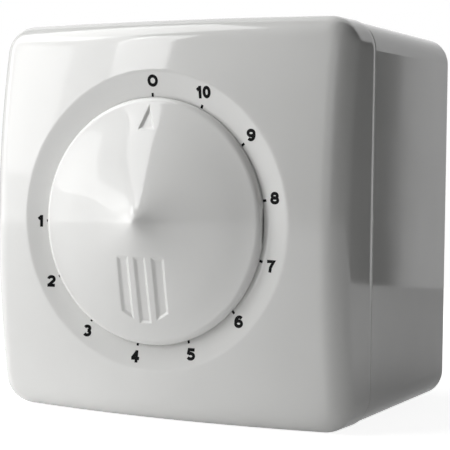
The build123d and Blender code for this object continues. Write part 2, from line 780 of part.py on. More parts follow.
# Circuit board, notched round the box's bosses
with BuildPart() as circuit_board:
    with BuildSketch(front_plane(board_depth)):
        RectangleRounded(2 * board_half_width, 2 * board_half_height, board_corner)
        with Locations((-box_screw_x, 0), (box_screw_x, 0)):
            Circle(boss_radius + boss_gap, mode=Mode.SUBTRACT)
        with Locations(*spacer_places):
            Circle(screw_radius + screw_hole_clearance, mode=Mode.SUBTRACT)
    extrude(amount=board_thickness)
circuit_board.part.label = "circuit_board"
export_step(circuit_board.part, "parts/circuit_board.step")

# Triac against the flange: metal tab, moulded body, three leads, screw and nut
flange_under = plate_top - plate_thickness
triac_bottom = triac_top - triac_tab_height
with BuildPart() as triac_tab:
    with BuildSketch(Plane.XY.offset(flange_under - triac_tab_thickness)):
        with Locations((0, -(triac_top + triac_bottom) / 2)):
            Rectangle(2 * triac_half_width, triac_tab_height)
        with Locations((0, -triac_hole)):
            Circle(screw_radius + screw_hole_clearance, mode=Mode.SUBTRACT)
    extrude(amount=triac_tab_thickness)
triac_tab.part.label = "triac_tab"
export_step(triac_tab.part, "parts/triac_tab.step")

body_top = flange_under - triac_tab_thickness
with BuildPart() as triac_body:
    with BuildSketch(Plane.XY.offset(body_top)):
        with Locations((0, -triac_bottom - triac_body_height / 2)):
            Rectangle(2 * triac_half_width, triac_body_height)
    extrude(amount=-triac_body_thickness)
    chamfer(triac_body.faces().sort_by(Axis.Z)[0].edges(), length=triac_body_chamfer)
triac_body.part.label = "triac_body"
export_step(triac_body.part, "parts/triac_body.step")

with BuildPart() as triac_leads:
    for x in (-triac_lead_pitch, 0, triac_lead_pitch):
        add(block(triac_lead_width, triac_lead_thickness, board_front, triac_bottom,
                  x, body_top - triac_lead_drop))
triac_leads.part.label = "triac_leads"
export_step(triac_leads.part, "parts/triac_leads.step")

with BuildPart() as triac_screw:
    with BuildSketch(Plane.XY.offset(body_top - screw_head_height)):
        with Locations((0, -triac_hole)):
            Circle(screw_head_radius)
    extrude(amount=screw_head_height)
    with BuildSketch(Plane.XY.offset(body_top)):
        with Locations((0, -triac_hole)):
            Circle(screw_radius)
    extrude(amount=triac_tab_thickness + plate_thickness + triac_nut_height + triac_screw_beyond)
    with BuildSketch(Plane.XY.offset(plate_top)):
        with Locations((0, -triac_hole)):
            RegularPolygon(triac_nut_flats / 2, 6, major_radius=False)
            Circle(screw_radius - nut_thread_depth, mode=Mode.SUBTRACT)
    extrude(amount=triac_nut_height)
triac_screw.part.label = "triac_screw"
export_step(triac_screw.part, "parts/triac_screw.step")

# Suppression choke: drum core and its winding
with BuildPart() as choke_core:
    choke_top = board_front + choke_height
    add(tube(choke_core_radius, 0, board_front, choke_top, choke_x, choke_z))
    add(tube(choke_radius, 0, board_front, board_front + choke_flange, choke_x, choke_z))
    add(tube(choke_radius, 0, choke_top - choke_flange, choke_top, choke_x, choke_z))
choke_core.part.label = "choke_core"
export_step(choke_core.part, "parts/choke_core.step")

with BuildPart() as choke_winding:
    add(tube(winding_radius, choke_core_radius + running_clearance, board_front + choke_flange,
             choke_top - choke_flange, choke_x, choke_z))
choke_winding.part.label = "choke_winding"
export_step(choke_winding.part, "parts/choke_winding.step")


def film_capacitor(size, x, z):
    """Box capacitor standing on the board, with rounded upright edges and top."""
    size_x, size_z, height = size
    with BuildPart() as form:
        add(block(size_x, size_z, board_front, board_front + height, x, z))
        fillet(form.edges().filter_by(Axis.Y), radius=capacitor_rounding)
        chamfer(form.faces().sort_by(Axis.Y)[0].edges(), length=capacitor_chamfer)
    return form.part


with BuildPart() as suppression_capacitor:
    add(film_capacitor(film_size, film_x, film_z))
suppression_capacitor.part.label = "suppression_capacitor"
export_step(suppression_capacitor.part, "parts/suppression_capacitor.step")

with BuildPart() as timing_capacitor:
    add(film_capacitor(small_capacitor_size, small_capacitor_x, small_capacitor_z))
timing_capacitor.part.label = "timing_capacitor"
export_step(timing_capacitor.part, "parts/timing_capacitor.step")

with BuildPart() as resistors:
    for z in resistor_z:
        add(on_board(axial(resistor_length, resistor_radius, resistor_pitch), resistor_x, z))
resistors.part.label = "resistors"
export_step(resistors.part, "parts/resistors.step")

with BuildPart() as diac:
    add(on_board(axial(diac_length, diac_radius, diac_pitch), diac_x, diac_z))
diac.part.label = "diac"
export_step(diac.part, "parts/diac.step")

# Minimum-speed trimmer: square body with a recess, and a slotted rotor on a pivot
recess_back = board_front + trimmer_height - trimmer_recess
with BuildPart() as trimmer_body:
    add(block(trimmer_width, trimmer_width, board_front, board_front + trimmer_height, trimmer_x, trimmer_z))
    add(tube(trimmer_rotor_radius + trimmer_gap, 0, recess_back, board_front + trimmer_height + cut_past,
             trimmer_x, trimmer_z), mode=Mode.SUBTRACT)
    pivot_hole_back = recess_back - trimmer_pivot_length - 2 * trimmer_float
    add(tube(trimmer_pivot_radius + running_clearance, 0, pivot_hole_back, recess_back + cut_past,
             trimmer_x, trimmer_z), mode=Mode.SUBTRACT)
trimmer_body.part.label = "trimmer_body"
export_step(trimmer_body.part, "parts/trimmer_body.step")

rotor_front = board_front + trimmer_height + trimmer_rotor_rise
with BuildPart() as trimmer_rotor:
    add(tube(trimmer_rotor_radius, 0, recess_back + trimmer_float, rotor_front, trimmer_x, trimmer_z))
    add(tube(trimmer_pivot_radius, 0, recess_back - trimmer_pivot_length, recess_back + join,
             trimmer_x, trimmer_z))
    with BuildSketch(front_plane(rotor_front, trimmer_x, trimmer_z)):
        Rectangle(2 * (trimmer_rotor_radius - trimmer_slot_margin), trimmer_slot_width)
    extrude(amount=-trimmer_slot_depth, mode=Mode.SUBTRACT)
trimmer_rotor.part.label = "trimmer_rotor"
export_step(trimmer_rotor.part, "parts/trimmer_rotor.step")

# Fuse: two spring clips, a glass tube and its two caps, lying along Z
fuse_axis = board_front + fuse_height
clip_middle = (fuse_length - fuse_cap_length) / 2


def along_z(radius, low, high):
    """Round bar along Z on the fuse's axis."""
    with BuildPart() as form:
        with BuildSketch(Plane.XY.offset(low)):
            with Locations((fuse_x, -fuse_axis)):
                Circle(radius)
        extrude(amount=high - low)
    return form.part


with BuildPart() as fuse_clips:
    arm = fuse_radius + clamp_gap + clip_metal / 2
    for z in (fuse_z - clip_middle, fuse_z + clip_middle):
        add(block(2 * arm + clip_metal, clip_length, board_front, board_front + clip_metal, fuse_x, z))
        for side in (-1, 1):
            add(block(clip_metal, clip_length, board_front, board_front + clip_height,
                      fuse_x + side * arm, z))
fuse_clips.part.label = "fuse_clips"
export_step(fuse_clips.part, "parts/fuse_clips.step")

with BuildPart() as fuse_tube:
    half_glass = fuse_length / 2 - fuse_cap_length
    add(along_z(fuse_glass_radius, fuse_z - half_glass, fuse_z + half_glass))
fuse_tube.part.label = "fuse_tube"
export_step(fuse_tube.part, "parts/fuse_tube.step")

with BuildPart() as fuse_caps:
    add(along_z(fuse_radius, fuse_z + half_glass, fuse_z + fuse_length / 2))
    add(along_z(fuse_radius, fuse_z - fuse_length / 2, fuse_z - half_glass))
fuse_caps.part.label = "fuse_caps"
export_step(fuse_caps.part, "parts/fuse_caps.step")

# Terminal block: wires enter from below, screws are reached from the front
terminal_x = [(index - (terminal_count - 1) / 2) * terminal_pitch for index in range(terminal_count)]
terminal_width = terminal_count * terminal_pitch
wire_axis = board_front + wire_height
clamp_half = wire_hole / 2 - clamp_gap
terminal_front = board_front + terminal_height
with BuildPart() as terminal_housing:
    add(block(terminal_width, terminal_length, board_front, terminal_front,
              0, terminal_z + terminal_length / 2))
    with BuildSketch(Plane.XY.offset(terminal_z)):
        with Locations(*[(x, -wire_axis) for x in terminal_x]):
            Rectangle(wire_hole, wire_hole)
    extrude(amount=wire_hole_length, mode=Mode.SUBTRACT)
    screw_z = terminal_z + wire_hole_length - clamp_length / 2
    with BuildSketch(front_plane(wire_axis)):
        with Locations(*[(x, screw_z) for x in terminal_x]):
            Circle(terminal_head_radius + terminal_well_clearance)
    extrude(amount=terminal_height, mode=Mode.SUBTRACT)
terminal_housing.part.label = "terminal_housing"
export_step(terminal_housing.part, "parts/terminal_housing.step")

with BuildPart() as terminal_clamps:
    clamp_low = terminal_z + wire_hole_length - clamp_length
    with BuildSketch(Plane.XY.offset(clamp_low)):
        with Locations(*[(x, -wire_axis) for x in terminal_x]):
            Rectangle(2 * clamp_half, 2 * clamp_half)
            Rectangle(2 * (clamp_half - clamp_wall), 2 * (clamp_half - clamp_wall), mode=Mode.SUBTRACT)
    extrude(amount=clamp_length)
    with BuildSketch(front_plane(wire_axis)):
        with Locations(*[(x, screw_z) for x in terminal_x]):
            Circle(terminal_screw_radius + running_clearance)
    extrude(amount=clamp_half + cut_past, mode=Mode.SUBTRACT)
terminal_clamps.part.label = "terminal_clamps"
export_step(terminal_clamps.part, "parts/terminal_clamps.step")

with BuildPart() as terminal_screws:
    head_front = terminal_front - terminal_screw_sunk
    for x in terminal_x:
        add(tube(terminal_head_radius, 0, head_front - terminal_head_height, head_front, x, screw_z))
        add(tube(terminal_screw_radius, 0, wire_axis + terminal_screw_tip, head_front - terminal_head_height,
                 x, screw_z))
        with BuildSketch(front_plane(head_front, x, screw_z)):
            Rectangle(2 * terminal_head_radius, screw_slot_width)
        extrude(amount=-screw_slot_depth, mode=Mode.SUBTRACT)
terminal_screws.part.label = "terminal_screws"
export_step(terminal_screws.part, "parts/terminal_screws.step")
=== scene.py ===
import json
import math

import bpy
import numpy as np
from mathutils import Matrix, Vector


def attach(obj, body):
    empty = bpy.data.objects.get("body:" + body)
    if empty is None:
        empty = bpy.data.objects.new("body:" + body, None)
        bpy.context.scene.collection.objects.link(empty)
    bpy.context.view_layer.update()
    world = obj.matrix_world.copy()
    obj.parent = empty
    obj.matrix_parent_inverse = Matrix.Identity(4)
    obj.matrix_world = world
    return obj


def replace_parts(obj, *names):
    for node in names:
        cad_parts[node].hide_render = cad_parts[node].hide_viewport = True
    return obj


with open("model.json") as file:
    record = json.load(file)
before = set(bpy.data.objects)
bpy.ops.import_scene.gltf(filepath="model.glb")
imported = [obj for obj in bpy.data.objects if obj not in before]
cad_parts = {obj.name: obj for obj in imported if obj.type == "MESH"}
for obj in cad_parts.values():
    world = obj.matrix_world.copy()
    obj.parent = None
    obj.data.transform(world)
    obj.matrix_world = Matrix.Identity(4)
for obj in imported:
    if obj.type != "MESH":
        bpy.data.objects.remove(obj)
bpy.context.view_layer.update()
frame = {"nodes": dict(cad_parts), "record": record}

# Surface-mounted rotary speed controller. Sizes are in millimetres, and become metres where a mesh is
# made. X is right, Z is up, and a depth is a distance from the wall, so it is -Y.

MM = 0.001
SHARP_ANGLE = 30

# Cover, as in the part's source
COVER_HALF = 41.0
COVER_BACK = 46.25
COVER_WALL = 2.4
COVER_DRAFT = math.radians(0.8)
CORNER_RADIUS = 6.4
CROWN_DEPTH = 65.95
CROWN_RADIUS = 192.0
EDGE_RADIUS = 5.5
RIM_RADIUS = 0.4
DISH_SLOPE = math.radians(9.2)
DISH_LIP_RADIUS = 3.0
DISH_RADIUS = 30.3
WELL_RADIUS = 24.7
WELL_DEPTH = 7.5
WELL_EDGE_RADIUS = 0.25
WELL_WALL = 2.2
WELL_FLOOR = 2.4
COLLAR_RADIUS = 8.0
COLLAR_BORE = 5.3
COLLAR_BACK = 45.8
COVER_RIB = 1.6
COVER_RIB_HEIGHT = 4.0
COLLAR_ROOT = 0.8
FLOOR_ROOT = 0.5
SPIGOT_LENGTH = 3.0
SPIGOT_OUTSIDE = 38.3
SPIGOT_INSIDE = 36.7
ACCESS_PLACE = (14.5, 11.0)
ACCESS_RADIUS = 2.2
PIN_OVERRUN = 1

# Knob, with heights above the dish's inner edge
KNOB_RADIUS = 25.0
KNOB_SKIRT_RADIUS = 24.25
KNOB_SKIRT_CHAMFER = 0.15
KNOB_EDGE_RADIUS = 1.5
KNOB_RIM = 0.35
KNOB_RIM_UNDER = 0.25
KNOB_RIM_FALL = math.radians(11.0)
KNOB_SKIRT = 3.0
KNOB_WALL = 2.0
KNOB_SKIRT_WALL = 2.1
KNOB_RIB = 1.2
KNOB_RIB_BACK = 2.0
KNOB_RIB_ROOT = 0.6
KNOB_PROFILE = np.array([(0, 8.3), (2.6, 7.25), (7.6, 5.5), (18.4, 3.12), (23.786, 1.8224)])
KNOB_SLOPES = np.array([-0.1228, -0.4939, -0.2561, -0.2437, -0.1944])
HUB_RADIUS = 5.6
HUB_BACK = 59.137
HUB_CHAMFER = 0.3
SHAFT_BORE = 3.05
SHAFT_FLAT = 2.1
BORE_DEPTH = 8.0
MARK_DEPTH = 0.4
POINTER_HALF = 2.0
POINTER_BASE = 18.45
POINTER_TIP = 23.6
POINTER_WALL = 0.6
GROOVE_WIDTH = 2.95
GROOVE_PITCH = 4.05
GROOVE_TOP = 6.75
GROOVE_END = 20.5
GROOVE_RISES = {-1: (2.3, 0.6), 0: (0.0, 0.0), 1: (0.6, 2.3)}
GROOVE_WALL = 0.8
GATE_FLAT_HALF = 3.5
GATE_FLAT_X = 24.65

# How finely the cover and the knob are divided. Steps are for the dome, the rounded edge and the side.
# Rings are stretches of radius with their counts; turns are stretches of angle with a step in degrees.
COVER_POINTS = 448
PIN_POINTS = 48
FACE_STEPS = (14, 16, 6)
INSIDE_STEPS = (8, 8, 3)
WELL_DIVIDED = 0.6
KNOB_RINGS = ((0.15, 2.6, 12), (2.6, 6.6, 12), (6.6, 7.6, 9), (7.6, 17.6, 32), (17.6, 23.786, 48))
KNOB_TURNS = (
    (-9, 9, 0.75), (9, 82, 2.0), (82, 98, 0.25), (98, 230, 2.0), (230, 310, 0.4), (310, 351, 2.0),
)

# Printed scale: each label with the place of its middle, right and up from the knob's axis
SCALE_LABELS = (
    ("0", -0.08, 28.31), ("10", 11.52, 25.87), ("9", 22.09, 17.45), ("8", 27.31, 5.32), ("7", 26.64, -7.88),
    ("6", 19.83, -19.05), ("5", 9.29, -26.23), ("4", -3.62, -27.55), ("3", -15.25, -23.03),
    ("2", -24.24, -13.16), ("1", -27.12, -0.64),
)
DIGIT_HALF = 1.23
DIGIT_STROKE = 0.65
DIGIT_WIDTHS = {
    "0": 1.85, "1": 1.15, "2": 1.95, "3": 1.95, "4": 2.05,
    "5": 2.0, "6": 2.05, "7": 2.0, "8": 2.05, "9": 2.05,
}
DIGIT_GAP = 0.28
RING_WIDTH = 2.4
TICK_ANGLES = np.concatenate([[-0.8], 25.5 + 27.0 * np.arange(10)])
TICK_RADII = (24.98, 25.73)
TICK_CENTRE = (0.05, 0.15)
TICK_WIDTH = 0.5
INK_THICKNESS = 0.02
INK_LIFT = 0.002
MITRE_LIMIT = 0.5

# Choke's winding
CHOKE_PLACE = (21.0, -18.0)
WINDING_DEPTHS = (27.4, 36.8)
WINDING_PLAY = 0.02
WIRE_RADIUS = 0.33
WIRE_SIDES = 7
WIRE_STEPS = 26
WIRE_SHARP_ANGLE = 80
LAYER_TURNS = 13
LAYER_RADII = np.array([3.93, 4.595, 5.26, 5.925, 6.59])
LAYER_CLIMB = 0.4

# Camera, fitted to the photograph; its place is in metres
CAMERA_PLACE = (0.146557, -0.314615, 0.012151)
CAMERA_YAW = math.radians(27.331)
CAMERA_PITCH = math.radians(-2.496)
CAMERA_ROLL = math.radians(0.671)
CAMERA_LENS = 115.5
CAMERA_SENSOR = 36

# Studio: the floor is in millimetres, and the backdrop's middle and ends are slopes of a ray, X over Y
FLOOR_LEVEL = -41.0
FLOOR_BEHIND = 277.0
FLOOR_REACH = 1500
FLOOR_GRID = 7
FLOOR_GLOW = 0.88
FLOOR_MIRRORED = 0.42
BACKDROP_MIDDLE = -0.5
BACKDROP_ENDS = (0.855, 0.864)
LAMPS_AIM = Vector((0, -0.05, 0))

dome_centre = CROWN_DEPTH - CROWN_RADIUS
dish_edge = (
    dome_centre + math.sqrt(CROWN_RADIUS ** 2 - DISH_RADIUS ** 2)
    - (DISH_RADIUS - WELL_RADIUS) * math.tan(DISH_SLOPE)
)
well_front = dish_edge - WELL_DEPTH
well_back = well_front - WELL_FLOOR


def make_camera():
    """Camera at the photograph's place; its axes come from a yaw, a pitch and a roll."""
    ahead = Vector((
        -math.sin(CAMERA_YAW) * math.cos(CAMERA_PITCH),
        math.cos(CAMERA_YAW) * math.cos(CAMERA_PITCH),
        math.sin(CAMERA_PITCH),
    ))
    level = Vector((math.cos(CAMERA_YAW), math.sin(CAMERA_YAW), 0))
    upright = level.cross(ahead)
    right = math.cos(CAMERA_ROLL) * level + math.sin(CAMERA_ROLL) * upright
    up = math.cos(CAMERA_ROLL) * upright - math.sin(CAMERA_ROLL) * level
    lens = bpy.data.cameras.new("camera")
    lens.lens = CAMERA_LENS
    lens.sensor_width = CAMERA_SENSOR
    camera = bpy.data.objects.new("camera", lens)
    turn = Matrix((right, up, -ahead)).transposed().to_4x4()
    camera.matrix_world = Matrix.Translation(CAMERA_PLACE) @ turn
    bpy.context.scene.collection.objects.link(camera)
    bpy.context.scene.camera = camera


make_camera()
bpy.context.scene.view_settings.view_transform = "Standard"


def smooth(mesh, sharp):
    """Smooth shading, except along edges that bend by more than an angle in degrees."""
    mesh.shade_smooth()
    mesh.set_sharp_from_angle(angle=math.radians(sharp))


def add_mesh(name, points, faces, sharp=SHARP_ANGLE):
    """Object from points (n, 3) in millimetres as X, depth, Z, and an array or list of faces."""
    co = np.stack([points[:, 0], -points[:, 1], points[:, 2]], -1) * MM
    mesh = bpy.data.meshes.new(name)
    mesh.from_pydata(co, [], faces.tolist() if isinstance(faces, np.ndarray) else faces)
    mesh.validate()
    smooth(mesh, sharp)
    piece = bpy.data.objects.new(name, mesh)
    bpy.context.scene.collection.objects.link(piece)
    return piece


def ring_faces(rings, count, closed_rings):
    """Quads between neighbouring rings of `count` points each; the last ring may join the first."""
    index = np.arange(rings * count).reshape(rings, count)
    if closed_rings:
        index = np.vstack([index, index[:1]])
    here, there = index[:-1], index[1:]
    quads = [here, np.roll(here, -1, 1), np.roll(there, -1, 1), there]
    return np.stack([q.ravel() for q in quads], -1)


def outward(points, faces):
    """The faces turned round if they enclose a negative volume, measured in the mesh's own axes."""
    co = points * (1, -1, 1)
    a, b, c, d = (co[faces[:, k]] for k in range(4))
    volume = np.einsum("ij,ij->", a, np.cross(b, c)) + np.einsum("ij,ij->", a, np.cross(c, d))
    return faces[:, ::-1] if volume < 0 else faces


def bar(rings):
    """Closed bar from its cross-sections (rings, corners, 3): quads along it and a face at each end."""
    count, corners = rings.shape[:2]
    points = rings.reshape(-1, 3)
    sides = ring_faces(count, corners, False)
    first = np.arange(corners)
    last = first + (count - 1) * corners
    flipped = outward(points, sides)[0].tolist() != sides[0].tolist()
    ends = [first.tolist(), last[::-1].tolist()] if flipped else [first[::-1].tolist(), last.tolist()]
    rows = (sides[:, ::-1] if flipped else sides).tolist() + ends
    return points, rows


def capped(rings, first_depth, last_depth):
    """Closed form from rings about the knob's axis: quads, and a fan at each end to a point on the axis."""
    points = np.concatenate(rings)
    count = len(rings[0])
    faces = outward(points, ring_faces(len(rings), count, False))
    rows = faces.tolist()
    forward = faces[0][0] == 0 and faces[0][1] == 1
    for place, level in enumerate((0, len(rings) - 1)):
        start = level * count + np.arange(count)
        fan = np.stack([np.full(count, len(points) + place), start, np.roll(start, -1)], -1)
        flip = forward == (place == 0)
        rows += (fan[:, ::-1] if flip else fan).tolist()
    return np.vstack([points, (0, first_depth, 0), (0, last_depth, 0)]), rows


def gather(parts):
    """One list of points and faces from several."""
    points, rows, shift = [], [], 0
    for part_points, part_rows in parts:
        points.append(part_points)
        rows += [[shift + k for k in row] for row in part_rows]
        shift += len(part_points)
    return np.concatenate(points), rows


def combine(piece, tool, operation):
    """Joins a closed tool to a piece, or cuts it out, and keeps the outcome as the piece's own mesh."""
    change = piece.modifiers.new("change", "BOOLEAN")
    change.operation = operation
    change.solver = "MANIFOLD"
    change.object = tool
    depsgraph = bpy.context.evaluated_depsgraph_get()
    mesh = bpy.data.meshes.new_from_object(piece.evaluated_get(depsgraph))
    piece.modifiers.remove(change)
    piece.data = mesh
    bpy.data.objects.remove(tool)
    smooth(mesh, SHARP_ANGLE)


def outline(turn, half, corner):
    """Square with rounded corners: plan points and outward normals at each share of a turn.

    Each quarter starts at the middle of a side, runs along the side, round the corner's arc and along
    half of the next side. The straight stretches take 39% of the quarter each.
    """
    straight = 0.39
    quarter, local = np.divmod(4 * turn, 1)
    arc = np.clip((local - straight) / (1 - 2 * straight), 0, 1) * math.pi / 2
    flat = half - corner
    x = np.clip((1 - local) / straight, 0, 1) * flat + corner * np.cos(arc)
    z = np.clip(local / straight, 0, 1) * flat + corner * np.sin(arc)
    cos, sin = np.cos(quarter * math.pi / 2), np.sin(quarter * math.pi / 2)
    place = np.stack([x * cos - z * sin, x * sin + z * cos], -1)
    normal = np.stack([np.cos(arc) * cos - np.sin(arc) * sin, np.cos(arc) * sin + np.sin(arc) * cos], -1)
    return place, normal


def with_depth(plan, depth):
    """Ring of points from plan places and depths."""
    return np.stack([plan[:, 0], np.broadcast_to(depth, len(plan)), plan[:, 1]], -1)


def circle(turn, radius, depth):
    """Ring of points on a circle about the knob's axis."""
    angle = 2 * math.pi * turn
    return np.stack([radius * np.cos(angle), np.full_like(angle, depth), radius * np.sin(angle)], -1)


def pillow_rings(turn, inset, inner_radius, back, dome_steps, edge_steps, side_steps):
    """Rings of the domed, square, round-edged form, from a circle on the dome out and back along the sides.

    The rounding is a ball of the edge's radius rolled round inside the form: its centre lies on a smaller
    sphere about the dome's centre and the same distance inside the drafted sides. Four rounds settle its
    depth, since the draft makes the sides' place depend on it. The dome's rings blend, in plan, from the
    circle to the line where the ball touches the dome, and take their depth from the sphere.
    """
    radius = CROWN_RADIUS - inset
    ball = EDGE_RADIUS - inset
    sin, cos = math.sin(COVER_DRAFT), math.cos(COVER_DRAFT)
    depth = np.full_like(turn, CROWN_DEPTH - inset - ball)
    for _ in range(4):
        taper = (depth - COVER_BACK) * math.tan(COVER_DRAFT)
        half = COVER_HALF - inset - taper - ball / cos
        plan, normal = outline(turn, half, CORNER_RADIUS - inset - taper - ball)
        depth = dome_centre + np.sqrt((radius - ball) ** 2 - (plan ** 2).sum(1))
    centre = with_depth(plan, depth)
    to_dome = (centre - (0, dome_centre, 0)) / (radius - ball)
    to_side = np.stack([normal[:, 0] * cos, np.full_like(turn, sin), normal[:, 1] * cos], -1)
    touch = centre + ball * to_dome
    start = circle(turn, inner_radius, 0)
    rings = []
    for share in np.linspace(0, 1, dome_steps + 1)[:-1]:
        place = start[:, [0, 2]] * (1 - share) + touch[:, [0, 2]] * share
        rings.append(with_depth(place, dome_centre + np.sqrt(radius ** 2 - (place ** 2).sum(1))))
    angle = np.arccos((to_dome * to_side).sum(1))[:, None]
    for share in np.linspace(0, 1, edge_steps + 1):
        direction = (np.sin((1 - share) * angle) * to_dome + np.sin(share * angle) * to_side) / np.sin(angle)
        rings.append(centre + ball * direction)
    for share in np.linspace(0, 1, side_steps + 1)[1:]:
        level = rings[dome_steps + edge_steps][:, 1] * (1 - share) + back * share
        taper = (level - COVER_BACK) * math.tan(COVER_DRAFT)
        place, _ = outline(turn, COVER_HALF - inset - taper, CORNER_RADIUS - inset - taper)
        rings.append(with_depth(place, level))
    return rings


def cone_depth(radius):
    """Depth of the dish's cone at a distance from the knob's axis."""
    return dish_edge + (radius - WELL_RADIUS) * math.tan(DISH_SLOPE)


def dish_lip():
    """Centre of the lip's rounding, and its angles from the dish's cone to the dome, as radius and depth.

    The centre lies below the cone and inside the dome by the lip's radius; halving a stretch of 4 mm to
    either side of the dish's edge finds it.
    """
    low, high = DISH_RADIUS - 4, DISH_RADIUS + 4
    for _ in range(50):
        middle = (low + high) / 2
        depth = cone_depth(middle) - DISH_LIP_RADIUS / math.cos(DISH_SLOPE)
        if math.hypot(middle, depth - dome_centre) < CROWN_RADIUS - DISH_LIP_RADIUS:
            low = middle
        else:
            high = middle
    return middle, depth, math.pi / 2 + DISH_SLOPE, math.atan2(depth - dome_centre, middle)


def dish_depth(radius):
    """Depth of the cover's face at a distance from the knob's axis: cone, lip's arc, then dome."""
    centre, depth, first, last = dish_lip()
    arc = depth + np.sqrt(np.maximum(DISH_LIP_RADIUS ** 2 - (radius - centre) ** 2, 0))
    dome = dome_centre + np.sqrt(CROWN_RADIUS ** 2 - radius ** 2)
    inner = centre + DISH_LIP_RADIUS * math.cos(first)
    outer = centre + DISH_LIP_RADIUS * math.cos(last)
    return np.where(radius < inner, cone_depth(radius), np.where(radius < outer, arc, dome))


def cover_shell():
    """The cover: an even wall whose rings run from the collar's bore over the face to the inside."""
    turn = np.arange(COVER_POINTS) / COVER_POINTS
    centre, depth, first, last = dish_lip()
    rings = [
        circle(turn, COLLAR_BORE, COLLAR_BACK),
        circle(turn, COLLAR_BORE, well_front),
        circle(turn, WELL_RADIUS * WELL_DIVIDED, well_front),
        circle(turn, WELL_RADIUS, well_front),
    ]
    for angle in np.linspace(math.pi, math.pi / 2 + DISH_SLOPE, 5):
        rings.append(circle(
            turn,
            WELL_RADIUS + WELL_EDGE_RADIUS * (1 + math.cos(angle)),
            dish_edge - WELL_EDGE_RADIUS * (1 - math.sin(angle)),
        ))
    inner = centre + DISH_LIP_RADIUS * math.cos(first)
    for radius in np.linspace(WELL_RADIUS + 2 * WELL_EDGE_RADIUS, inner, 5)[:-1]:
        rings.append(circle(turn, radius, cone_depth(radius)))
    for angle in np.linspace(first, last, 9)[:-1]:
        rings.append(circle(
            turn, centre + DISH_LIP_RADIUS * math.cos(angle), depth + DISH_LIP_RADIUS * math.sin(angle)
        ))
    dome_start = centre + DISH_LIP_RADIUS * math.cos(last)
    rings += pillow_rings(turn, 0, dome_start, COVER_BACK + RIM_RADIUS, *FACE_STEPS)
    for angle in np.linspace(0, math.pi / 2, 6)[1:]:
        inset = RIM_RADIUS * (1 - math.cos(angle))
        place, _ = outline(turn, COVER_HALF - inset, CORNER_RADIUS - inset)
        rings.append(with_depth(place, COVER_BACK + RIM_RADIUS * (1 - math.sin(angle))))
    spigot_corner = CORNER_RADIUS - COVER_HALF
    for half, level in (
        (SPIGOT_OUTSIDE, COVER_BACK), (SPIGOT_OUTSIDE, COVER_BACK - SPIGOT_LENGTH),
        (SPIGOT_INSIDE, COVER_BACK - SPIGOT_LENGTH), (SPIGOT_INSIDE, COVER_BACK + COVER_WALL),
    ):
        place, _ = outline(turn, half, half + spigot_corner)
        rings.append(with_depth(place, level))
    inside = pillow_rings(turn, COVER_WALL, WELL_RADIUS + WELL_WALL, COVER_BACK + COVER_WALL, *INSIDE_STEPS)
    rings += inside[::-1]
    rings += [
        circle(turn, WELL_RADIUS + WELL_WALL, well_back),
        circle(turn, COLLAR_RADIUS, well_back),
        circle(turn, COLLAR_RADIUS, COLLAR_BACK),
    ]
    points = np.concatenate(rings)
    faces = outward(points, ring_faces(len(rings), len(turn), True))
    return add_mesh("cover_moulding", points, faces)


def rib(radius, low, high, thickness, angle):
    """Rib that points away from the knob's axis: an oblong section at each radius, between two depths."""
    half = thickness / 2
    side = np.array([-half, half, half, -half])
    along = np.repeat(radius[:, None], 4, 1)
    depth = np.stack([low, low, high, high], -1)
    cos, sin = math.cos(math.radians(angle)), math.sin(math.radians(angle))
    return bar(np.stack([along * cos - side * sin, depth, along * sin + side * cos], -1))


def cover_ribs():
    """Four straight ribs between the collar and the well's wall, rooted in both and in the well's floor."""
    radius = np.array([COLLAR_RADIUS - COLLAR_ROOT, WELL_RADIUS + WELL_WALL / 2])
    low, high = np.full(2, well_back - COVER_RIB_HEIGHT), np.full(2, well_back + FLOOR_ROOT)
    ribs = [rib(radius, low, high, COVER_RIB, angle) for angle in (0, 90, 180, 270)]
    return add_mesh("cover_ribs", *gather(ribs))


def access_pin():
    """Round pin that cuts the trimmer's access hole through the well's floor."""
    turn = np.arange(PIN_POINTS) / PIN_POINTS
    depths = (well_back - PIN_OVERRUN, well_front + PIN_OVERRUN)
    rings = np.stack([circle(turn, ACCESS_RADIUS, depth) for depth in depths])
    points, rows = bar(rings + (ACCESS_PLACE[0], 0, ACCESS_PLACE[1]))
    return add_mesh("access_pin", points, rows)


def knob_height(radius):
    """The knob's height above the dish's edge: cubic pieces through the profile's points and slopes."""
    knots, heights = KNOB_PROFILE.T
    k = np.clip(np.searchsorted(knots, radius, "right") - 1, 0, len(knots) - 2)
    span = knots[k + 1] - knots[k]
    s = (radius - knots[k]) / span
    return (
        (2 * s ** 3 - 3 * s ** 2 + 1) * heights[k] + (s ** 3 - 2 * s ** 2 + s) * span * KNOB_SLOPES[k]
        + (3 * s ** 2 - 2 * s ** 3) * heights[k + 1] + (s ** 3 - s ** 2) * span * KNOB_SLOPES[k + 1]
    )


def inside_polygon(x, z, corners):
    """How far each point lies inside a convex polygon, given clockwise; negative outside."""
    near = np.full_like(x, np.inf)
    for (x0, z0), (x1, z1) in zip(corners, corners[1:] + corners[:1]):
        length = math.hypot(x1 - x0, z1 - z0)
        near = np.minimum(near, ((z1 - z0) * (x - x0) - (x1 - x0) * (z - z0)) / length)
    return near


def smooth_step(value):
    """0 below 0, 1 above 1, and a smooth S between."""
    share = np.clip(value, 0, 1)
    return share * share * (3 - 2 * share)


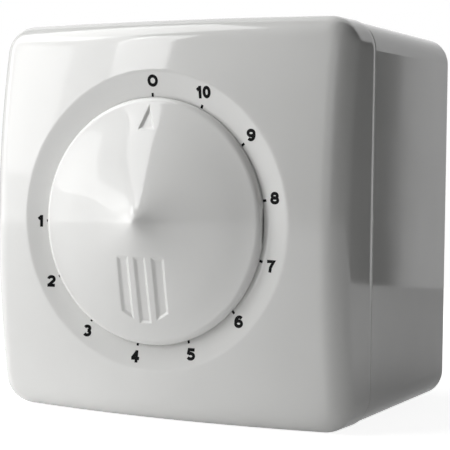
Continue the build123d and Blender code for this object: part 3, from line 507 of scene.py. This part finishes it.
def knob_recess(x, z):
    """Depth of the marks below the knob's face: three soft-walled grooves and a pointer with sloped walls."""
    depth = np.zeros_like(x)
    for side, (left_rise, right_rise) in GROOVE_RISES.items():
        left = side * GROOVE_PITCH - GROOVE_WIDTH / 2
        right = left + GROOVE_WIDTH
        corners = [(left, -GROOVE_TOP), (right, -GROOVE_TOP), (right, right_rise - GROOVE_END),
                   (left, left_rise - GROOVE_END)]
        depth += MARK_DEPTH * smooth_step(inside_polygon(x, z, corners) / GROOVE_WALL)
    corners = [(-POINTER_HALF, POINTER_BASE), (0, POINTER_TIP), (POINTER_HALF, POINTER_BASE)]
    depth += MARK_DEPTH * smooth_step(inside_polygon(x, z, corners) / POINTER_WALL)
    return depth


def knob_turns():
    """Shares of a turn, from +X towards +Z, closer at the grooves, the pointer and the gate's flat."""
    angles = [np.arange(first, last - step / 2, step) for first, last, step in KNOB_TURNS]
    return np.concatenate(angles) / 360


def knob_shell():
    """The knob: rings from the tip over the face and round the rim, then up inside to the shaft's bore."""
    turn = knob_turns()
    cos, sin = np.cos(2 * math.pi * turn), np.sin(2 * math.pi * turn)

    def ring(radius, depth):
        x, z = radius * cos, radius * sin
        flat = (np.abs(z) < GATE_FLAT_HALF) & (x > GATE_FLAT_X)
        return np.stack([np.where(flat, GATE_FLAT_X, x), np.broadcast_to(depth, x.shape), z], -1)

    radii = [np.linspace(*stretch)[:-1] for stretch in KNOB_RINGS] + [KNOB_PROFILE[-1:, 0]]
    rings = []
    for radius in np.concatenate(radii):
        recess = knob_recess(radius * cos, radius * sin)
        rings.append(ring(radius, dish_edge + knob_height(radius) - recess))
    for angle in np.linspace(math.pi / 2 - KNOB_RIM_FALL, 0, 9)[1:]:
        rings.append(ring(
            KNOB_RADIUS - KNOB_EDGE_RADIUS * (1 - math.cos(angle)),
            dish_edge + KNOB_RIM + KNOB_EDGE_RADIUS * math.sin(angle),
        ))
    inner_radius = KNOB_SKIRT_RADIUS - KNOB_SKIRT_WALL
    for radius, height in (
        (KNOB_RADIUS, KNOB_RIM_UNDER), (KNOB_SKIRT_RADIUS, KNOB_RIM_UNDER),
        (KNOB_SKIRT_RADIUS, KNOB_SKIRT_CHAMFER - KNOB_SKIRT),
        (KNOB_SKIRT_RADIUS - KNOB_SKIRT_CHAMFER, -KNOB_SKIRT), (inner_radius, -KNOB_SKIRT),
    ):
        rings.append(ring(radius, dish_edge + height))
    for radius in np.linspace(inner_radius, HUB_RADIUS, 12):
        rings.append(ring(radius, dish_edge + knob_height(radius) - KNOB_WALL))
    rings.append(ring(HUB_RADIUS, HUB_BACK + HUB_CHAMFER))
    rings.append(ring(HUB_RADIUS - HUB_CHAMFER, HUB_BACK))
    bore = np.where(sin > 0, np.minimum(SHAFT_BORE, SHAFT_FLAT / np.maximum(sin, 0.1)), SHAFT_BORE)
    for depth in (HUB_BACK, HUB_BACK + BORE_DEPTH):
        rings.append(np.stack([bore * cos, np.full_like(cos, depth), bore * sin], -1))
    return add_mesh("knob_moulding", *capped(rings, dish_edge + knob_height(0.0), HUB_BACK + BORE_DEPTH))


def knob_ribs():
    """Three ribs, rooted in the hub and the skirt, whose fronts follow the knob's face inside its wall."""
    inner, outer = HUB_RADIUS - KNOB_RIB_ROOT, KNOB_SKIRT_RADIUS - KNOB_SKIRT_WALL + KNOB_RIB_ROOT
    radius = np.linspace(inner, outer, 16)
    low = np.full_like(radius, dish_edge - KNOB_RIB_BACK)
    high = dish_edge + knob_height(radius) - KNOB_WALL / 2
    ribs = [rib(radius, low, high, KNOB_RIB, angle) for angle in (90, 210, 330)]
    return add_mesh("knob_ribs", *gather(ribs))


def arc(x, z, half_width, half_height, first, last, steps=16):
    """Points on an ellipse about (x, z) between two angles, in degrees anticlockwise from +X."""
    angle = np.radians(np.linspace(first, last, steps))
    return np.stack([x + half_width * np.cos(angle), z + half_height * np.sin(angle)], -1)


def digit_strokes(digit, width):
    """Middle lines of a digit's strokes about its own middle, built from straight lines and ellipse arcs."""
    h = DIGIT_HALF - DIGIT_STROKE / 2
    w = (width - DIGIT_STROKE) / 2
    end = DIGIT_HALF
    if digit == "0":
        return [arc(0, 0, w, h, 90, 450, 33)]
    if digit == "1":
        return [np.array([(w, -end), (w, end)]), np.array([(-w - 0.2, h - 0.5), (w - 0.1, h - 0.05)])]
    if digit == "2":
        bow = 0.58 * h
        hook = np.vstack([arc(0, h - bow, w, bow, 175, -35), [(-w * 0.85, -h)]])
        return [hook, np.array([(-w - 0.2, -h), (w + 0.2, -h)])]
    if digit == "3":
        upper = arc(0, 0.52 * h, 0.9 * w, 0.48 * h, 155, -80)
        lower = arc(0, -0.48 * h, w, 0.52 * h, 80, -155)
        return [upper, lower]
    if digit == "4":
        stem, bridge = 0.4 * w, -0.42 * h
        return [np.array([(stem, -end), (stem, end)]), np.array([(stem - 0.05, h), (-w, bridge)]),
                np.array([(-w - 0.2, bridge), (w + 0.24, bridge)])]
    if digit == "5":
        bowl = arc(-0.05, -h + 0.6 * h, w + 0.05, 0.6 * h, 135, -150)
        return [np.array([(w + 0.1, h), (-0.75 * w, h), (-0.95 * w, -0.1 * h)]), bowl]
    if digit in "69":
        bowl = arc(0, -0.42 * h, w, 0.58 * h, 90, 450, 29)
        back = arc(0.1, 0, w + 0.1, h, 195, 48)
        strokes = [bowl, back]
        return strokes if digit == "6" else [-stroke for stroke in strokes]
    if digit == "7":
        stem = [(w, h), (0.35 * w, 0.3 * h), (-0.1 * w, -0.35 * h), (-0.25 * w, -end)]
        return [np.array([(-w - 0.2, h)] + stem)]
    return [arc(0, 0.5 * h, 0.86 * w, 0.5 * h, 90, 450, 29), arc(0, -0.46 * h, w, 0.54 * h, 90, 450, 29)]


def left_of(step):
    """Unit vectors that point left of each step along a line."""
    return np.stack([-step[:, 1], step[:, 0]], -1) / np.linalg.norm(step, axis=1)[:, None]


def printed_stroke(line, width, x, z, lift):
    """Thin closed ribbon of ink on the cover's face: a middle line, offset both ways with mitred corners.

    Its front stands one thickness above the face, and its back lies half a thickness inside the cover.
    """
    closed = np.allclose(line[0], line[-1])
    if closed:
        line = line[:-1]
        step_in = line - np.roll(line, 1, 0)
        step_out = np.roll(line, -1, 0) - line
    else:
        step = np.diff(line, axis=0)
        step_in, step_out = np.vstack([step[:1], step]), np.vstack([step, step[-1:]])
    left = left_of(step_in)
    middle = left + left_of(step_out)
    mitre = middle / np.maximum((middle * left).sum(1), MITRE_LIMIT)[:, None] * width / 2
    edges = [line + mitre + (x, z), line - mitre + (x, z)]
    rings = []
    for edge, height in ((edges[0], 1), (edges[1], 1), (edges[1], -0.5), (edges[0], -0.5)):
        depth = dish_depth(np.hypot(edge[:, 0], edge[:, 1])) + height * (INK_THICKNESS + lift)
        rings.append(np.stack([edge[:, 0], depth, edge[:, 1]], -1))
    rings = np.stack(rings, 1)
    if closed:
        points = rings.reshape(-1, 3)
        return points, outward(points, ring_faces(len(rings), 4, True)).tolist()
    return bar(rings)


def print_label(label, x, z):
    """Digits of one label, side by side about its middle; each stroke lies a little over the one before."""
    widths = [RING_WIDTH if label == "0" else DIGIT_WIDTHS[digit] for digit in label]
    left = x - (sum(widths) + DIGIT_GAP * (len(label) - 1)) / 2
    parts = []
    for digit, width in zip(label, widths):
        for order, line in enumerate(digit_strokes(digit, width)):
            parts.append(printed_stroke(line, DIGIT_STROKE, left + width / 2, z, INK_LIFT * order))
        left += width + DIGIT_GAP
    return add_mesh("label_" + label, *gather(parts))


def print_ticks():
    """Short strokes round the knob, each straight along its own radius."""
    parts = []
    for angle in np.radians(TICK_ANGLES):
        line = np.outer(np.linspace(*TICK_RADII, 4), (math.sin(angle), math.cos(angle)))
        parts.append(printed_stroke(line, TICK_WIDTH, *TICK_CENTRE, 0))
    return add_mesh("scale_ticks", *gather(parts))


def winding():
    """Choke's winding: one wire in five layers, each a helix back over the one before.

    The wire's middle line keeps one radius along a layer and climbs to the next radius over the layer's
    last 0.4 turn; its round section is carried along it in the directions away from and along the core.
    """
    layers = len(LAYER_RADII)
    turn = np.arange(layers * LAYER_TURNS * WIRE_STEPS + 1) / WIRE_STEPS
    layer = np.minimum((turn / LAYER_TURNS).astype(int), layers - 1)
    share = turn / LAYER_TURNS - layer
    climb = smooth_step((share - 1) * LAYER_TURNS / LAYER_CLIMB + 1)
    radius = LAYER_RADII[layer] * (1 - climb) + LAYER_RADII[np.minimum(layer + 1, layers - 1)] * climb
    low = WINDING_DEPTHS[0] + WIRE_RADIUS + WINDING_PLAY
    high = WINDING_DEPTHS[1] - WIRE_RADIUS - WINDING_PLAY
    along = low + (high - low) * np.where(layer % 2 == 0, share, 1 - share)
    angle = 2 * math.pi * turn
    away = np.stack([np.cos(angle), np.zeros_like(angle), np.sin(angle)], -1)
    middle = radius[:, None] * away + np.stack([np.zeros_like(along), along, np.zeros_like(along)], -1)
    middle += (CHOKE_PLACE[0], 0, CHOKE_PLACE[1])
    around = 2 * math.pi * np.arange(WIRE_SIDES) / WIRE_SIDES
    section = WIRE_RADIUS * (
        np.cos(around)[None, :, None] * away[:, None] + np.sin(around)[None, :, None] * np.array([0, 1, 0])
    )
    return add_mesh("choke_turns", *bar(middle[:, None] + section), sharp=WIRE_SHARP_ANGLE)


cover = cover_shell()
combine(cover, cover_ribs(), "UNION")
combine(cover, access_pin(), "DIFFERENCE")
knob = knob_shell()
combine(knob, knob_ribs(), "UNION")
coil = winding()
prints = [print_label(*label) for label in SCALE_LABELS] + [print_ticks()]

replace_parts(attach(cover, "housing"), "front_cover")
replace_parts(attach(knob, "control_knob"), "knob")
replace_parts(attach(coil, "housing"), "choke_winding")
for piece in prints:
    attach(piece, "housing")


def linear(code):
    """Colour of a hex code, turned from sRGB to linear light."""
    value = np.array([int(code[k:k + 2], 16) for k in (1, 3, 5)]) / 255
    value = np.where(value <= 0.04045, value / 12.92, ((value + 0.055) / 1.055) ** 2.4)
    return (*value.tolist(), 1)


def add(tree, kind, settings=None, inputs=None):
    """Adds a node, sets its properties, and sets or links its inputs."""
    node = tree.nodes.new(kind)
    for name, value in (settings or {}).items():
        setattr(node, name, value)
    for name, value in (inputs or {}).items():
        if isinstance(value, bpy.types.NodeSocket):
            tree.links.new(value, node.inputs[name])
        else:
            node.inputs[name].default_value = value
    return node


def reckon(tree, operation, *values):
    """Socket with the outcome of a sum, product or comparison of sockets and numbers."""
    return add(tree, "ShaderNodeMath", {"operation": operation}, dict(enumerate(values))).outputs[0]


def noise(tree, place, size, detail):
    """Socket of a noise whose features have a size in millimetres."""
    return add(tree, "ShaderNodeTexNoise", {}, {
        "Vector": place, "Scale": 1 / (size * MM), "Detail": detail}).outputs["Fac"]


def spread(tree, factor, low, high):
    """Socket that runs from one value to another as a texture's value runs from 0.3 to 0.7."""
    return add(tree, "ShaderNodeMapRange", {}, {
        "Value": factor, "From Min": 0.3, "From Max": 0.7, "To Min": low, "To Max": high}).outputs["Result"]


def blend(tree, factor, first, second):
    """Colour socket that goes from one colour to another, each a socket or a hex code."""
    first, second = (linear(tone) if isinstance(tone, str) else tone for tone in (first, second))
    return add(tree, "ShaderNodeMix", {"data_type": "RGBA"}, {0: factor, 6: first, 7: second}).outputs[2]


def relief(tree, texture, height, **below):
    """Normal socket of a relief from a texture, with its height in millimetres, over one below it."""
    return add(tree, "ShaderNodeBump", {}, {
        "Height": texture, "Strength": 1.0, "Distance": height * MM, **below}).outputs["Normal"]


def new_material(name, metallic=0.0, ior=1.5, **sockets):
    """Material with its node tree, its shader and its Object coordinates."""
    material = bpy.data.materials.new(name)
    material.use_nodes = True
    tree = material.node_tree
    shader = tree.nodes["Principled BSDF"]
    shader.inputs["Metallic"].default_value = metallic
    if metallic == 0:
        shader.inputs["IOR"].default_value = ior
    for socket, value in sockets.items():
        shader.inputs[socket.replace("_", " ")].default_value = value
    return material, tree, shader, add(tree, "ShaderNodeTexCoord").outputs["Object"]


def surface(tree, shader, colour, roughness, normal):
    """Links the shader's colour, roughness and normal."""
    for name, socket in (("Base Color", colour), ("Roughness", roughness), ("Normal", normal)):
        tree.links.new(socket, shader.inputs[name])


def mottled(name, light, dark, patch, roughness, grain, height, stretch=(1, 1, 1), **settings):
    """Material whose colour drifts between two tones in patches, with uneven roughness and a fine relief.

    Noise of the patch's size mixes the tones and the two roughness values; finer noise of the grain's size
    is the relief, with its height in millimetres. The stretch makes either pattern longer or closer.
    """
    material, tree, shader, place = new_material(name, **settings)
    place = add(tree, "ShaderNodeMapping", {}, {"Vector": place, "Scale": stretch}).outputs["Vector"]
    patches = noise(tree, place, patch, 3.0)
    surface(tree, shader, blend(tree, spread(tree, patches, 0, 1), light, dark),
            spread(tree, patches, *roughness), relief(tree, noise(tree, place, grain, 4.0), height))
    return material


def white_moulding():
    """Glossy injection-moulded ABS, from a polished tool.

    It mirrors lamps with soft edges, and its face is very slightly wavy where the melt flowed, so that
    reflections drift. The tone hardly varies, and handling leaves slightly duller patches.
    """
    material, tree, shader, place = new_material("white_abs_moulding", ior=1.52)
    drift = noise(tree, place, 26, 2.0)
    flow = relief(tree, noise(tree, place, 11, 1.0), 0.012)
    surface(tree, shader, blend(tree, spread(tree, drift, 0, 1), "#EDEDEB", "#E8E8E6"),
            spread(tree, drift, 0.05, 0.075), relief(tree, noise(tree, place, 0.5, 3.0), 0.0006, Normal=flow))
    return material


def banded(name, body, bands, centre, half_length, roughness):
    """Lacquered axial part: a body with painted rings, and tinned wire leads beyond its ends.

    The distance along X from the part's middle picks the ring's colour, and past the body's ends the
    surface is bright tinned wire.
    """
    material, tree, shader, place = new_material(name)
    axes = add(tree, "ShaderNodeSeparateXYZ", {}, {0: place})
    along = reckon(tree, "SUBTRACT", axes.outputs["X"], centre * MM)
    uneven = noise(tree, place, 0.9, 3.0)
    colour = blend(tree, uneven, *body)
    for offset, width, code in bands:
        ring = reckon(tree, "COMPARE", along, offset * MM, width / 2 * MM)
        colour = blend(tree, ring, colour, code)
    lead = reckon(tree, "GREATER_THAN", reckon(tree, "ABSOLUTE", along), half_length * MM)
    surface(tree, shader, blend(tree, lead, colour, "#CFD0D2"), spread(tree, uneven, *roughness),
            relief(tree, uneven, 0.02))
    tree.links.new(lead, shader.inputs["Metallic"])
    return material


finishes = {
    "white_moulding": white_moulding(),
    # Moulded EPDM rubber: dark grey, without gloss, with a fine moulded grain and a dusty bloom
    "grommet_rubber": mottled("moulded_rubber", "#4A4A4C", "#3A3A3C", 4, (0.65, 0.8), 0.35, 0.02),
    # Rolled aluminium sheet, mill finish: fine streaks along the rolling direction, half bright
    "chassis_aluminium": mottled("mill_finish_aluminium", "#D2D3D5", "#BDBFC2", 30, (0.28, 0.42), 6, 0.004,
                                 metallic=1.0, stretch=(1, 30, 30)),
    # Steel with bright zinc plating: cool, clouded by the chromate, with small pits
    "zinc_steel": mottled("zinc_plated_steel", "#D3D7DB", "#BEC5CC", 2.2, (0.2, 0.36), 0.4, 0.006,
                          metallic=1.0),
    # Turned brass with nickel plating: warm grey with the cutter's fine rings round it
    "nickel_brass": mottled("nickel_plated_turned_brass", "#D6D0C2", "#C4BCAA", 9, (0.18, 0.3), 5, 0.004,
                            metallic=1.0, stretch=(1, 26, 1)),
    # Stamped brass strip, unplated: yellow, with brown tarnish in patches
    "bare_brass": mottled("stamped_brass_strip", "#CDA75E", "#A17B43", 1.6, (0.28, 0.45), 0.3, 0.006,
                          metallic=1.0),
    # Hot-tinned copper: soft and silvery, slightly wavy where the tin set
    "tinned_pins": mottled("hot_tinned_copper", "#D9DADB", "#C6C8CA", 1.2, (0.24, 0.38), 0.7, 0.02,
                           metallic=1.0),
    # Enamelled copper wire: red-brown metal under a clear amber varnish
    "copper_winding": mottled("enamelled_copper_wire", "#C0703F", "#A4532A", 2.5, (0.22, 0.34), 0.6, 0.004,
                              metallic=1.0, Coat_Weight=1.0, Coat_Roughness=0.08),
    # Sintered ferrite: near black and dull, with a sandy grain and small chips
    "ferrite": mottled("sintered_ferrite", "#38383A", "#262628", 0.8, (0.5, 0.7), 0.2, 0.03, ior=1.6),
    # Paper laminate board: tan, with the paper's fibres running one way under a thin resin film
    "board_laminate": mottled("paper_laminate_board", "#BE935B", "#A57B45", 3, (0.38, 0.5), 0.6, 0.008,
                              stretch=(1, 1, 4)),
    # Epoxy moulding compound: black, matt from a spark-eroded tool
    "dark_moulding": mottled("black_epoxy_moulding", "#232325", "#1A1A1C", 1.5, (0.5, 0.65), 0.12, 0.012),
    # Punched phenolic paper sheet: dark brown, waxy, with fibres
    "wafer_phenolic": mottled("phenolic_paper_sheet", "#65422A", "#4C2F1C", 2.5, (0.4, 0.55), 0.4, 0.01),
    # Capacitor case of moulded polyester, filled with resin: yellow with a slight gloss
    "capacitor_yellow": mottled("moulded_polyester_case", "#DDB23C", "#D2A531", 6, (0.28, 0.4), 0.5, 0.008),
    # Carbon film resistors: beige lacquer over the rod, with four painted rings
    "resistor_coating": banded("beige_resistor_lacquer", ("#CDB48A", "#BFA47A"), (
        (-2.1, 0.55, "#6A3B1E"), (-1.05, 0.5, "#1E1C1B"), (0.0, 0.5, "#D2601D"), (1.9, 0.55, "#B38B3C"),
    ), 25.0, 3.2, (0.25, 0.4)),
    # Polyamide terminal housing: grey, satin from the tool
    "terminal_grey": mottled("grey_polyamide", "#969A9D", "#898D90", 5, (0.35, 0.48), 0.25, 0.01),
    # Trimmer body of moulded polyester: deep blue, satin
    "trimmer_blue": mottled("blue_polyester_moulding", "#2B4F9E", "#234389", 3, (0.3, 0.42), 0.25, 0.008),
    # Drawn fuse glass: clear, with long faint drawing lines
    "fuse_glass": mottled("drawn_fuse_glass", "#F4FAF9", "#ECF6F4", 8, (0.02, 0.05), 1.5, 0.002, ior=1.52,
                          stretch=(1, 1, 0.1), Transmission_Weight=1.0),
}
# Small diode in blue lacquer with a black ring, on tinned leads
diode = banded("blue_diode_lacquer", ("#3A62B0", "#2F549C"), ((1.2, 0.5, "#17171A"),), -13.0, 2.03,
               (0.2, 0.35))
# Pad-printed ink: deep matt black, almost flat, slightly uneven in thickness
ink = mottled("pad_printed_ink", "#0A0A0B", "#101011", 0.9, (0.35, 0.5), 0.2, 0.001, ior=1.48,
              Specular_IOR_Level=0.1)

for entry in frame["record"]["subparts"]:
    material = diode if entry["node"] == "diac" else finishes[entry["material_slot"]]
    for place in frame["nodes"][entry["node"]].material_slots:
        place.material = material
for piece, slot, material in [
    (cover, "white_moulding", finishes["white_moulding"]),
    (knob, "white_moulding", finishes["white_moulding"]),
    (coil, "copper_winding", finishes["copper_winding"]),
] + [(piece, "dark_moulding", ink) for piece in prints]:
    piece.data.materials.clear()
    piece.data.materials.append(material)


def seen_rays(tree, seen, mirrored):
    """Strength for camera rays, another for glossy and transmission rays, and 0 for the rest."""
    path = add(tree, "ShaderNodeLightPath")
    passing = reckon(tree, "MAXIMUM", path.outputs["Is Glossy Ray"], path.outputs["Is Transmission Ray"])
    first = reckon(tree, "MULTIPLY", path.outputs["Is Camera Ray"], seen)
    return reckon(tree, "MAXIMUM", first, reckon(tree, "MULTIPLY", passing, mirrored))


def make_floor():
    """Pale paper floor: a level grid that ends behind the object, where the backdrop rises.

    Its glow makes it white to the camera, is weaker in reflections and lights nothing.
    """
    x, depth = np.meshgrid(
        np.linspace(-FLOOR_REACH, FLOOR_REACH, FLOOR_GRID),
        np.linspace(-FLOOR_BEHIND, FLOOR_REACH, FLOOR_GRID),
    )
    points = np.stack([x.ravel(), depth.ravel(), np.full(x.size, FLOOR_LEVEL)], -1)
    index = np.arange(x.size).reshape(x.shape)
    faces = np.stack([index[:-1, :-1], index[1:, :-1], index[1:, 1:], index[:-1, 1:]], -1).reshape(-1, 4)
    floor = add_mesh("floor", points, faces)
    material, tree, shader, place = new_material(
        "white_background_paper", ior=1.45, Roughness=0.85, Specular_IOR_Level=0.2,
        Emission_Color=(1, 1, 1, 1),
    )
    tone = blend(tree, noise(tree, place, 0.8, 3.0), "#F1F1F1", "#ECECEC")
    tree.links.new(tone, shader.inputs["Base Color"])
    tree.links.new(seen_rays(tree, FLOOR_GLOW, FLOOR_MIRRORED), shader.inputs["Emission Strength"])
    floor.data.materials.append(material)


def make_world():
    """White backdrop behind the object, seen in reflections, and a dark studio in front of it.

    The slope of the ray's direction, X over Y, tells the backdrop's breadth, with a soft change at its two
    ends. Camera rays see white all round, so that every view has the same background.
    """
    world = bpy.data.worlds.new("studio")
    world.use_nodes = True
    tree = world.node_tree
    shader = tree.nodes["Background"]
    direction = add(tree, "ShaderNodeTexCoord").outputs["Generated"]
    axes = add(tree, "ShaderNodeSeparateXYZ", {}, {0: direction})
    slope = reckon(tree, "DIVIDE", axes.outputs["X"], reckon(tree, "MAXIMUM", axes.outputs["Y"], 0.001))
    offset = reckon(tree, "ABSOLUTE", reckon(tree, "SUBTRACT", slope, BACKDROP_MIDDLE))
    behind = add(tree, "ShaderNodeMapRange", {"interpolation_type": "SMOOTHSTEP"}, {
        "Value": offset, "From Min": BACKDROP_ENDS[0], "From Max": BACKDROP_ENDS[1], "To Min": 1.0,
        "To Max": 0.0})
    shader.inputs["Color"].default_value = (1, 1, 1, 1)
    tree.links.new(seen_rays(tree, 1.0, behind.outputs[0]), shader.inputs["Strength"])
    bpy.context.scene.world = world


def softbox(name, azimuth, elevation, distance, width, height, power):
    """Oblong lamp that faces the object from an azimuth to the right of its front and an elevation.

    The angles are in degrees, the lengths in metres and the power in watts.
    """
    azimuth, elevation = math.radians(azimuth), math.radians(elevation)
    towards = Vector((
        math.sin(azimuth) * math.cos(elevation), -math.cos(azimuth) * math.cos(elevation), math.sin(elevation)
    ))
    lamp = bpy.data.lights.new(name, "AREA")
    lamp.shape = "RECTANGLE"
    lamp.size, lamp.size_y = width, height
    lamp.energy = power
    box = bpy.data.objects.new(name, lamp)
    turn = towards.to_track_quat("Z", "Y").to_matrix().to_4x4()
    box.matrix_world = Matrix.Translation(LAMPS_AIM + distance * towards) @ turn
    bpy.context.scene.collection.objects.link(box)


# Light: three boxes left of the lens, two above and a weak fill from the right
make_floor()
make_world()
softbox("narrow_box", -34.5, 29, 0.8, 0.14, 0.34, 0.7)
softbox("near_box", -56, 15, 0.33, 0.07, 0.12, 0.04)
softbox("key_box", -65, 17, 0.8, 0.7, 0.75, 4.5)
softbox("upper_box", -70, 52, 0.5, 0.3, 0.35, 1.2)
softbox("overhead", 0, 88, 0.9, 1.2, 1.2, 0.5)
softbox("right_fill", 32, 10, 1.2, 0.45, 0.7, 0.7)
